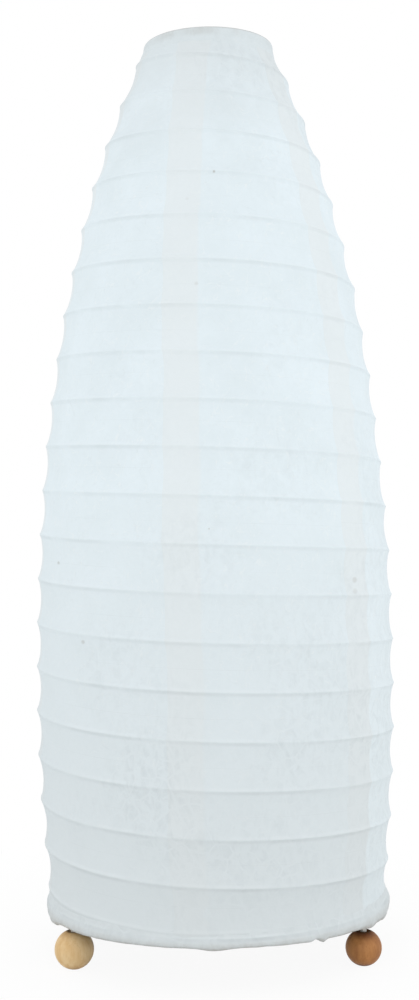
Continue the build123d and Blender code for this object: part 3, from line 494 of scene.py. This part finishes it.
def gore_place(gore):
    def place(across, down):
        start = lap_edge(gore, down)
        rough_height = TOP_EDGE_HEIGHT + (BOTTOM_EDGE_HEIGHT - TOP_EDGE_HEIGHT) * down
        lap_angle = np.degrees(LAP / ridge_radius(rough_height))
        end = lap_edge(gore + 1, down) + lap_angle
        degrees = start + (end - start) * across
        (radii, heights), sags, strength = gore_ridges(gore, (degrees - FIRST_SEAM) / 360)
        bands = len(radii) - 1
        point = np.arange(len(down))
        band = np.minimum((down * bands + 1e-5).astype(int), bands - 1)
        share = np.clip(down * bands - band, 0, 1)
        # Rows stand closer near the wire, where the paper bends most
        share = share - 0.6 * np.sin(2 * np.pi * share) / (2 * np.pi)
        above_r, below_r = radii[band, point], radii[band + 1, point]
        above_z, below_z = heights[band, point], heights[band + 1, point]
        chord = np.hypot(above_r - below_r, above_z - below_z)
        sag = sag_at(sags[band, point], chord, share)
        radius = above_r + (below_r - above_r) * share - sag * (above_z - below_z) / chord
        height = above_z + (below_z - above_z) * share - sag * (below_r - above_r) / chord
        under, over = share * chord, (1 - share) * chord
        near = np.minimum(under, over)
        near_strength = np.where(under < over, strength[band, point], strength[band + 1, point])
        below_rib = np.where(under < over, under, -over)
        spots = around(radius, degrees, height) / MM
        unrolled = np.stack([np.radians(degrees) * radius, height, 0 * height], axis=-1)
        off_top = smooth_step((TOP_EDGE_HEIGHT - height) / 25)
        off_ends = off_top * smooth_step((height - BOTTOM_EDGE_HEIGHT) / 20)
        lift, creased = drying(spots, unrolled, near, near_strength, off_ends)
        into_lap = degrees - start
        lapped = 1 - smooth_step((into_lap - lap_angle) / 3.0)
        tucked = smooth_step((degrees - lap_edge(gore + 1, down) + 1.0) / 1.0)
        pressed = 1 - smooth_step(into_lap / 1.6)
        lift = lift + LAP_RAISE * lapped - (LAP_RAISE + EDGE_PRESS) * pressed - TUCK * tucked
        doubled = 1 - smooth_step((into_lap - lap_angle + 0.6) / 0.9)
        marks = {
            "lap": doubled,
            "rib": np.clip(below_rib, -20, 20) * MM,
            "rib_strength": near_strength * (0.9 - 0.4 * height / TOP_RING_HEIGHT),
            "creased": creased * np.interp(height, CRUMPLE_HEIGHTS, CRUMPLE_SHARES),
            # Weight of the painted shade towards the foot and the top, blended across the lap
            "painted_shade_weight": GORE_PAINTED_SHADE_WEIGHTS[gore] + doubled * (GORE_PAINTED_SHADE_WEIGHTS[gore - 1] - GORE_PAINTED_SHADE_WEIGHTS[gore]),
        }
        return around(radius + lift, degrees, height), marks
    return place


# Brown marks on the front of the shade: place in mm, radius in mm and strength. A mark lies on the paper
# wherever that has sagged to, so depth counts little in the distance to it.
PAPER_MARKS = [
    (2.6, -79.1, 497.3, 0.4, 0.65), (-14.2, -82.5, 480.7, 0.6, 0.25), (-9.2, -95.7, 426.3, 0.8, 0.35),
    (86.5, -77.7, 245.0, 1.4, 0.6), (86.4, -78.2, 238.0, 1.3, 0.4), (-81.0, -84.9, 209.3, 0.9, 0.35),
    (-98.4, -61.0, 257.1, 0.7, 0.4),
]
MARK_DEPTH_SHARE = 0.15
# Below the wire the paper is in shade for about 2 mm, and just above it catches the light: where each
# line begins, is full, fades and ends, in mm below the wire, its strength and its tint
RIB_LINES = [(-0.6, 0.4, 0.8, 2.8, 0.2, "#9FA5A7"), (-2.6, -1.5, -0.9, -0.2, 0.14, "#F5FBFE")]


# Mulberry paper is matt and cool white, with cloudy thickness, long pale fibres and a rare brown fleck.
# Where two sheets lap it turns a little warmer; painted shade and highlights mark the wire and the crumples.
def mulberry_paper(name, bright, cloudy, warm):
    material, tree, shader, place = start_material(name)
    clouds = add(tree, "TexNoise", {"Vector": place, "Scale": 1 / (38 * MM), "Detail": 4.0, "Roughness": 0.6})
    cloud_share = add(tree, "MapRange", {"Value": clouds, "From Min": 0.32, "From Max": 0.7})
    body = add(tree, "Mix", {0: cloud_share, 6: linear(bright), 7: linear(cloudy)}, data_type="RGBA")
    pulp = add(tree, "TexNoise", {"Vector": place, "Scale": 1 / (3.2 * MM), "Detail": 4.0, "Roughness": 0.65})
    pulp_share = add(tree, "MapRange", {"Value": pulp, "From Min": 0.4, "From Max": 0.75, "To Max": 0.5})
    colour = add(tree, "Mix", {0: pulp_share, 6: body, 7: linear(cloudy)}, data_type="RGBA")
    # Real fibres are about 0.05 mm wide; they are drawn about 0.4 mm wide so that they show
    fibres = []
    for size, fibre_colour, share in ((13, "#F2F8FA", 0.5), (21, "#D3DCE0", 0.2)):
        strands = add(tree, "TexNoise", {
            "Vector": place, "Scale": 1 / (size * MM), "Detail": 2.0, "Distortion": 1.6,
        })
        centred = add(tree, "Math", {0: strands, 1: 0.5}, operation="SUBTRACT")
        beside = add(tree, "Math", {0: centred}, operation="ABSOLUTE")
        thread = add(tree, "MapRange", {
            "Value": beside, "From Max": 0.3 / size, "To Min": share, "To Max": 0.0,
        })
        broken = add(tree, "Math", {0: thread, 1: pulp_share}, operation="MULTIPLY")
        fibre = add(tree, "Math", {0: broken, 1: 3.0}, operation="MULTIPLY", use_clamp=True)
        colour = add(tree, "Mix", {0: fibre, 6: colour, 7: linear(fibre_colour)}, data_type="RGBA")
        fibres.append(fibre)
    # Cockles are small slanting dents from the drying; their shade is painted in, as strong as the paper is
    # creased there
    cockle_place = add(tree, "Mapping", {
        "Vector": place, "Rotation": (0, math.radians(35), 0),
        "Scale": [1 / (size * MM) for size in (4.5, 5.5, 7.5)],
    })
    cockles = add(tree, "TexNoise", {
        "Vector": cockle_place, "Scale": 1.0, "Detail": 4.0, "Roughness": 0.6, "Distortion": 0.7,
    })
    creased = add(tree, "Attribute", attribute_name="creased").outputs["Fac"]
    dent_shade = add(tree, "MapRange", {"Value": cockles, "From Min": 0.42, "From Max": 0.7, "To Max": 0.25})
    cockle_shade_share = add(tree, "Math", {0: dent_shade, 1: creased}, operation="MULTIPLY")
    # Flecks of bark are scattered one to a cell, in few of the cells, and the marks join them
    cells = add(tree, "TexVoronoi", {"Vector": place, "Scale": 1 / (26 * MM)})
    cell_draw = add(tree, "SeparateColor", {"Color": cells.outputs["Color"]}).outputs["Red"]
    chosen = add(tree, "Math", {0: cell_draw, 1: 0.86}, operation="GREATER_THAN")
    dot = add(tree, "MapRange", {
        "Value": cells.outputs["Distance"], "From Min": 0.01, "From Max": 0.03, "To Min": 0.5, "To Max": 0.0,
    })
    flecks = add(tree, "Math", {0: dot, 1: chosen}, operation="MULTIPLY")
    shallow_place = add(tree, "VectorMath", {0: place, 1: (1, MARK_DEPTH_SHARE, 1)}, operation="MULTIPLY")
    for across, front, height, size, share in PAPER_MARKS:
        to_mark = add(tree, "VectorMath", {
            0: shallow_place, 1: (across * MM, front * MARK_DEPTH_SHARE * MM, height * MM),
        }, operation="DISTANCE")
        ragged = add(tree, "Math", {0: cockles, 1: 1.5 * MM, 2: to_mark}, operation="MULTIPLY_ADD")
        mark = add(tree, "MapRange", {
            "Value": ragged, "From Min": (size + 0.4) * MM, "From Max": (size + 1.5) * MM,
            "To Min": share, "To Max": 0.0,
        })
        flecks = add(tree, "Math", {0: flecks, 1: mark}, operation="MAXIMUM")
    colour = add(tree, "Mix", {0: flecks, 6: colour, 7: linear("#8F8674")}, data_type="RGBA")
    lap = add(tree, "Attribute", attribute_name="lap").outputs["Fac"]
    lap_share = add(tree, "Math", {0: lap, 1: 0.6}, operation="MULTIPLY")
    colour = add(tree, "Mix", {0: lap_share, 6: colour, 7: linear(warm)}, data_type="RGBA")
    # Painted shade darkens the paper towards the foot and, less, at the top
    axes = add(tree, "SeparateXYZ", {"Vector": place})
    strayed = add(tree, "Math", {0: clouds, 1: 50 * MM, 2: axes.outputs["Z"]}, operation="MULTIPLY_ADD")
    low_painted_shade = add(tree, "MapRange", {
        "Value": strayed, "From Min": 330 * MM, "From Max": 40 * MM, "To Min": 0.0, "To Max": 0.85,
    })
    top_painted_shade = add(tree, "MapRange", {
        "Value": strayed, "From Min": 540 * MM, "From Max": 630 * MM, "To Min": 0.0, "To Max": 0.5,
    })
    foot_and_top_painted_shade = add(tree, "Math", {0: low_painted_shade, 1: top_painted_shade}, operation="MAXIMUM")
    painted_shade_weight = add(tree, "Attribute", attribute_name="painted_shade_weight").outputs["Fac"]
    painted_shade_share = add(tree, "Math", {0: foot_and_top_painted_shade, 1: painted_shade_weight}, operation="MULTIPLY")
    colour = add(tree, "Mix", {0: painted_shade_share, 6: colour, 7: linear("#D3D9DB")}, data_type="RGBA")
    # Painted shade in the cockles' dents
    colour = add(tree, "Mix", {0: cockle_shade_share, 6: colour, 7: linear("#BEC7CB")}, data_type="RGBA")
    # Painted highlights run as pale wrinkle lines between the dents, like the lit edges of facets about 13 mm
    # across
    bent_place = add(tree, "VectorMath", {
        0: cockles.outputs["Color"], 1: (2.5 * MM, 2.5 * MM, 2.5 * MM), 2: place,
    }, operation="MULTIPLY_ADD")
    facets = add(tree, "TexVoronoi", {
        "Vector": bent_place, "Scale": 1 / (13 * MM),
    }, feature="DISTANCE_TO_EDGE")
    wrinkle_highlight = add(tree, "MapRange", {
        "Value": facets.outputs["Distance"], "From Min": 0.01, "From Max": 0.07,
        "To Min": 1.15, "To Max": 0.0,
    })
    wrinkle_highlight_share = add(tree, "Math", {0: wrinkle_highlight, 1: cockle_shade_share}, operation="MULTIPLY")
    colour = add(tree, "Mix", {0: wrinkle_highlight_share, 6: colour, 7: linear("#EFF6F9")}, data_type="RGBA")
    # Painted shade and handling stains grey the hems, in blotches
    stain_and_shade = add(tree, "Attribute", attribute_name="stain_and_shade").outputs["Fac"]
    blotched = add(tree, "MapRange", {
        "Value": cockles, "From Min": 0.35, "From Max": 0.65, "To Min": 0.6, "To Max": 1.0,
    })
    stain_and_shade_share = add(tree, "Math", {0: stain_and_shade, 1: blotched}, operation="MULTIPLY")
    colour = add(tree, "Mix", {0: stain_and_shade_share, 6: colour, 7: linear("#B9B8B4")}, data_type="RGBA")
    # Painted shade under the wire and a painted highlight above it show in patches
    rib = add(tree, "Attribute", attribute_name="rib").outputs["Fac"]
    strength = add(tree, "Attribute", attribute_name="rib_strength").outputs["Fac"]
    patches = add(tree, "TexNoise", {"Vector": place, "Scale": 1 / (45 * MM), "Detail": 2.0})
    rib_light_patches = add(tree, "MapRange", {"Value": patches, "From Min": 0.38, "From Max": 0.66, "To Min": 0.12})
    rib_light_strength = add(tree, "Math", {0: rib_light_patches, 1: strength}, operation="MULTIPLY")
    for begin, full, fade, end, share, tint in RIB_LINES:
        onset = add(tree, "MapRange", {
            "Value": rib, "From Min": begin * MM, "From Max": full * MM, "To Max": share,
        }, interpolation_type="SMOOTHSTEP")
        finish = add(tree, "MapRange", {
            "Value": rib, "From Min": fade * MM, "From Max": end * MM, "To Min": 1.0, "To Max": 0.0,
        }, interpolation_type="SMOOTHSTEP")
        line = add(tree, "Math", {0: onset, 1: finish}, operation="MULTIPLY")
        rib_light_share = add(tree, "Math", {0: line, 1: rib_light_strength}, operation="MULTIPLY")
        colour = add(tree, "Mix", {0: rib_light_share, 6: colour, 7: linear(tint)}, data_type="RGBA")
    # Soft creases, the pulp and the fibres each raise the surface a little
    creases = add(tree, "TexNoise", {
        "Vector": place, "Scale": 1 / (6 * MM), "Detail": 3.0, "Distortion": 0.6,
    })
    relief = None
    for surface, amount, depth in ((creases, 0.35, 0.35), (pulp, 0.3, 0.12), (fibres[0], 0.12, 0.05)):
        below = {"Normal": relief} if relief else {}
        relief = add(tree, "Bump", {"Height": surface, "Strength": amount, "Distance": depth * MM, **below})
    join(tree, shader, {
        "Base Color": colour,
        "Roughness": add(tree, "MapRange", {"Value": pulp, "To Min": 0.78, "To Max": 0.95}),
        "Normal": relief,
        "Specular IOR Level": 0.2,
    })
    return material


shade_paper = mulberry_paper("handmade mulberry paper", "#E8F3F9", "#E2EDF2", "#E7EDEF")
for gore in range(GORES):
    bands = full_crossings(gore) + 1 + (gore in (RIB_START_GORE, RIB_END_GORE))
    sheet = paper_sheet("gore_sheet_%d" % (gore + 1), COLUMNS, bands * ROWS_PER_BAND, gore_place(gore))
    sheet.data.materials.append(shade_paper)
    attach(sheet, "shade_top")
    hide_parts("paper_gore_%d" % (gore + 1))
    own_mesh(sheet)

# Hems. A strip of the same paper is pasted outside the gores at each end and turned over the ring:
# the upper one over the top of its ring, the lower one bulging over its ring and tucked in below it.
# They hug the drawn-in paper and the paste has left their edges puckered; the top one carries painted shade
# along its ring's crest and handling stains below it, and the bottom one is painted greyer towards its lower
# edge.
HEM_ROWS, TOP_HEM_COLUMNS, BOTTOM_HEM_COLUMNS = 40, 240, 480
# A pasted hem stands so far off the gores, with a film of paste under it, and its edge is pressed down
HEM_RAISE, PASTE_FILM, HEM_PRESS = 0.35, 0.08, 0.45
# Corners of each hem's outline, as radius and height: the top one runs from inside its ring over it and
# down, the bottom one from its upper edge down and in under its ring
TOP_HEM_CORNERS = [
    (39.3, 598.4), (39.5, 599.9), (41.2, 600.25), (43.1, 599.9), (43.5, 597.6), (44.3, 593.5), (45.75, 589.0),
]
BOTTOM_HEM_CORNERS = [
    (111.2, 40.5), (111.6, 36.5), (113.9, 33.6), (114.6, 30.2), (113.6, 26.9), (111.4, 25.5), (109.2, 25.8),
]
# The lower edge is drawn up along the front, droops at both sides and has a small torn nub: the middle
# and half width of each rise in degrees, and its height, which is below zero where the edge hangs
LOWER_EDGE_RISES = [
    (272, 48, 3.0), (268.5, 5, -1.5), (197.5, 6.5, -3.4), (343, 7, -3.2), (329, 5, -2.4),
    (304.4, 1.0, -1.6), (301.2, 1.1, 1.5),
]
hem_paper = mulberry_paper("pasted mulberry paper hem", "#E7F2F7", "#E1ECF1", "#E9EFF0")


# Radius of the gores' outer face at an angle and a height
def paper_radius(degrees, height):
    turn = ((degrees - FIRST_SEAM) % 360) / 360
    radius = np.zeros(len(degrees))
    for gore in range(GORES):
        mine = np.minimum((turn * GORES).astype(int), GORES - 1) == gore
        (radii, heights), sags, _ = gore_ridges(gore, turn[mine])
        found = np.where(height[mine] > BELLY_HEIGHT, radii[0], radii[-1])
        for band in range(len(radii) - 1):
            fall = heights[band] - heights[band + 1]
            share = (heights[band] - height[mine]) / fall
            chord = np.hypot(radii[band] - radii[band + 1], fall)
            sagged = radii[band] + (radii[band + 1] - radii[band]) * share - sag_at(sags[band], chord, share)
            found = np.where((share >= 0) & (share <= 1), sagged, found)
        radius[mine] = found
    return radius


def pasted_radius(degrees, height, edge, pressed):
    return paper_radius(degrees, height) + HEM_RAISE * (1 - edge) + PASTE_FILM - HEM_PRESS * pressed


# A hem's outline is drawn with a few corners, which are cut three times to round them
def rounded(corners):
    line = np.array(corners, float)
    for _ in range(3):
        cut = np.empty((2 * len(line), 2))
        cut[0], cut[-1] = line[0], line[-1]
        cut[1:-1:2] = 0.75 * line[:-1] + 0.25 * line[1:]
        cut[2:-1:2] = 0.25 * line[:-1] + 0.75 * line[1:]
        line = cut
    gone = np.concatenate([[0.0], np.cumsum(np.hypot(*np.diff(line, axis=0).T))])
    return lambda share: [np.interp(share * gone[-1], gone, line[:, axis]) for axis in (0, 1)]


top_outline, bottom_outline = rounded(TOP_HEM_CORNERS), rounded(BOTTOM_HEM_CORNERS)


# Points of a hem for its puckers, which run up it the longer the smaller the share is
def up_the_hem(ring, height, share):
    return ring + np.c_[0 * height, 0 * height, height * share]


def top_hem_place(across, down):
    degrees = 360 * across
    radius, height = top_outline(down)
    ring = around(44.0, degrees, 0) / MM
    edge = smooth_step((down - 0.7) / 0.3)
    height = height + edge * (0.9 * grain(ring, 16, 12) + 0.4 * grain(ring, 5, 13))
    pasted = smooth_step((598.2 - height) / 3.0)
    pressed = smooth_step((down - 0.88) / 0.12)
    hugging = pasted_radius(degrees, np.minimum(height, TOP_EDGE_HEIGHT), edge, pressed)
    radius = radius + (hugging - radius) * pasted
    pucker = grain(up_the_hem(ring, height, 0.4), 4.5, 11)
    outside = smooth_step((down - 0.35) / 0.3) * (1 - edge)
    radius = radius + outside * 0.28 * pucker
    # The ring's crest is painted in shade, and the hem below it is stained by handling
    crest_shade = smooth_step((height - 598.4) / 1.4)
    handled = smooth_step((height - 592.5) / 5) * np.clip(0.35 + 0.8 * grain(ring, 11, 14), 0.1, 0.8)
    marks = {
        "stain_and_shade": np.maximum(0.7 * crest_shade, 0.5 * handled),
        "creased": 0.6 * outside,
        "painted_shade_weight": 1.0 + 0 * down,
    }
    return around(radius, degrees, height), marks


def bottom_hem_place(across, down):
    degrees = 360 * across
    radius, height = bottom_outline(down)
    ring = around(113.0, degrees, 0) / MM
    lower = smooth_step((down - 0.4) / 0.5)
    edge = smooth_step((0.3 - down) / 0.3)
    height = height + edge * (1.1 * grain(ring, 22, 25) + 0.5 * grain(ring, 6, 26))
    pasted = smooth_step((height - 33.2) / 3.2)
    pressed = smooth_step((0.12 - down) / 0.12)
    hugging = pasted_radius(degrees, np.maximum(height, BOTTOM_EDGE_HEIGHT), edge, pressed)
    radius = radius + (hugging - radius) * pasted
    wavy = 0.5 * grain(ring, 30, 23) + 0.25 * grain(ring, 8, 24)
    rise = 0 * degrees
    for middle, width, rise_height in LOWER_EDGE_RISES:
        away = (degrees - middle + 180) % 360 - 180
        rise = rise + rise_height * np.exp(-(away / width) ** 2)
    height = height + lower * (rise - wavy)
    pucker = grain(up_the_hem(ring, height, 0.25), 5.5, 21)
    lumps = grain(up_the_hem(ring, height, 0.5), 17, 22)
    radius = radius + (1 - edge) * (0.25 + 0.35 * lower) * (0.8 * pucker + 0.8 * lumps)
    # The bottom hem is painted greyer towards its lower edge, most where it turns in under its ring
    stain_and_shade = 0.4 * smooth_step((down - 0.38) / 0.2) + 0.55 * smooth_step((down - 0.62) / 0.14)
    marks = {
        "stain_and_shade": stain_and_shade * np.clip(0.85 + 0.6 * grain(ring, 12, 27), 0.3, 1),
        # A line of painted shade, with a painted highlight above it, runs where the hem bends over its ring
        "rib": (down - 0.34) * 20 * MM,
        "rib_strength": np.clip(0.7 + 1.1 * grain(ring, 14, 28), 0.1, 1.3),
        "creased": 1.0 + 0 * down,
        "painted_shade_weight": 1.0 + 0 * down,
    }
    return around(radius, degrees, height), marks


top_hem = paper_sheet("top_hem_strip", TOP_HEM_COLUMNS, HEM_ROWS, top_hem_place, closed=True)
bottom_hem = paper_sheet("bottom_hem_strip", BOTTOM_HEM_COLUMNS, HEM_ROWS, bottom_hem_place, closed=True)
for hem, node, body in ((top_hem, "top_hem", "shade_top"), (bottom_hem, "bottom_hem", "shade_bottom")):
    hem.data.materials.append(hem_paper)
    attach(hem, body)
    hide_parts(node)

# Studio. A plain pale floor, softboxes in front and at both sides, and an even white surround, with
# the camera a little under a metre away at half the lamp's height.
FLOOR_RADIUS = 4.0
LIGHT_AIM = Vector((0, 0, 0.38))
SOFTBOXES = [
    ("front softbox", (0.3, -1.6, 0.3), 1.0, 1.5),
    ("right softbox", (1.4, -0.5, 0.25), 1.0, 2.0),
    ("left softbox", (-1.4, -0.5, 0.45), 1.0, 1.3),
]
CAMERA_DISTANCE, CAMERA_HEIGHT, CAMERA_ASIDE, CAMERA_ROLL = 0.945, 0.2824, -0.0028, 0.68
LENS, SENSOR, FRAME_SHIFT = 50.6, 36.0, 0.021
scene = bpy.context.scene
scene.view_settings.view_transform = "Standard"


# 1 for what is seen straight, mirrored or through glass, and 0 for the light that falls on the lamp
def seen_share(tree):
    path = add(tree, "LightPath")
    mirrored = add(tree, "Math", {
        0: path.outputs["Is Camera Ray"], 1: path.outputs["Is Glossy Ray"],
    }, operation="MAXIMUM")
    return add(tree, "Math", {0: mirrored, 1: path.outputs["Is Transmission Ray"]}, operation="MAXIMUM")


bpy.ops.object.select_all(action="DESELECT")
bpy.ops.mesh.primitive_circle_add(vertices=96, radius=FLOOR_RADIUS, fill_type="NGON", location=(0, 0, 0))
floor = bpy.context.object
floor.name = "floor"
floor_paint, tree, shader, place = start_material("pale studio floor")
# Matt pale paint with a faint mottle; the camera sees it near white, with the lamp's shadow kept.
mottle = add(tree, "TexNoise", {"Vector": place, "Scale": 1 / (60 * MM), "Detail": 3.0})
join(tree, shader, {
    "Base Color": add(tree, "Mix", {0: mottle, 6: linear("#F5F5F4"), 7: linear("#F1F1EF")}, data_type="RGBA"),
    "Roughness": 0.9,
    "Specular IOR Level": 0.1,
})
from_lamp = add(tree, "VectorMath", {0: place}, operation="LENGTH")
shadow_room = add(tree, "MapRange", {
    "Value": from_lamp, "From Min": 0.1, "From Max": 0.32, "To Min": 0.93, "To Max": 1.0,
})
white_share = add(tree, "Math", {0: seen_share(tree), 1: shadow_room}, operation="MULTIPLY")
white = add(tree, "Emission", {"Color": (1, 1, 1, 1), "Strength": 1.0})
floor_mix = add(tree, "MixShader", {0: white_share, 1: shader, 2: white})
join(tree, tree.nodes["Material Output"], {"Surface": floor_mix})
floor.data.materials.append(floor_paint)

world = bpy.data.worlds.new("white surround")
world.use_nodes = True
scene.world = world
tree = world.node_tree
way = add(tree, "SeparateXYZ", {"Vector": add(tree, "TexCoord").outputs["Generated"]})
sky_level = add(tree, "MapRange", {
    "Value": way.outputs["Z"], "From Min": -1.0, "From Max": 1.0, "To Min": 0.89, "To Max": 0.95,
})
level = add(tree, "Mix", {0: seen_share(tree), 2: sky_level, 3: 1.0}, data_type="FLOAT")
join(tree, tree.nodes["Background"], {"Color": (1, 1, 1, 1), "Strength": level})

for name, spot, size, power in SOFTBOXES:
    bpy.ops.object.light_add(type="AREA", location=spot)
    softbox = bpy.context.object
    softbox.name = name
    softbox.data.size = size
    softbox.data.energy = power
    softbox.rotation_euler = (LIGHT_AIM - Vector(spot)).to_track_quat("-Z", "Y").to_euler()

bpy.ops.object.camera_add(location=(CAMERA_ASIDE, -CAMERA_DISTANCE, CAMERA_HEIGHT))
camera = bpy.context.object
camera.data.lens = LENS
camera.data.sensor_width = SENSOR
camera.data.shift_y = FRAME_SHIFT
camera.rotation_euler = (math.radians(90), math.radians(CAMERA_ROLL), 0)
scene.camera = camera
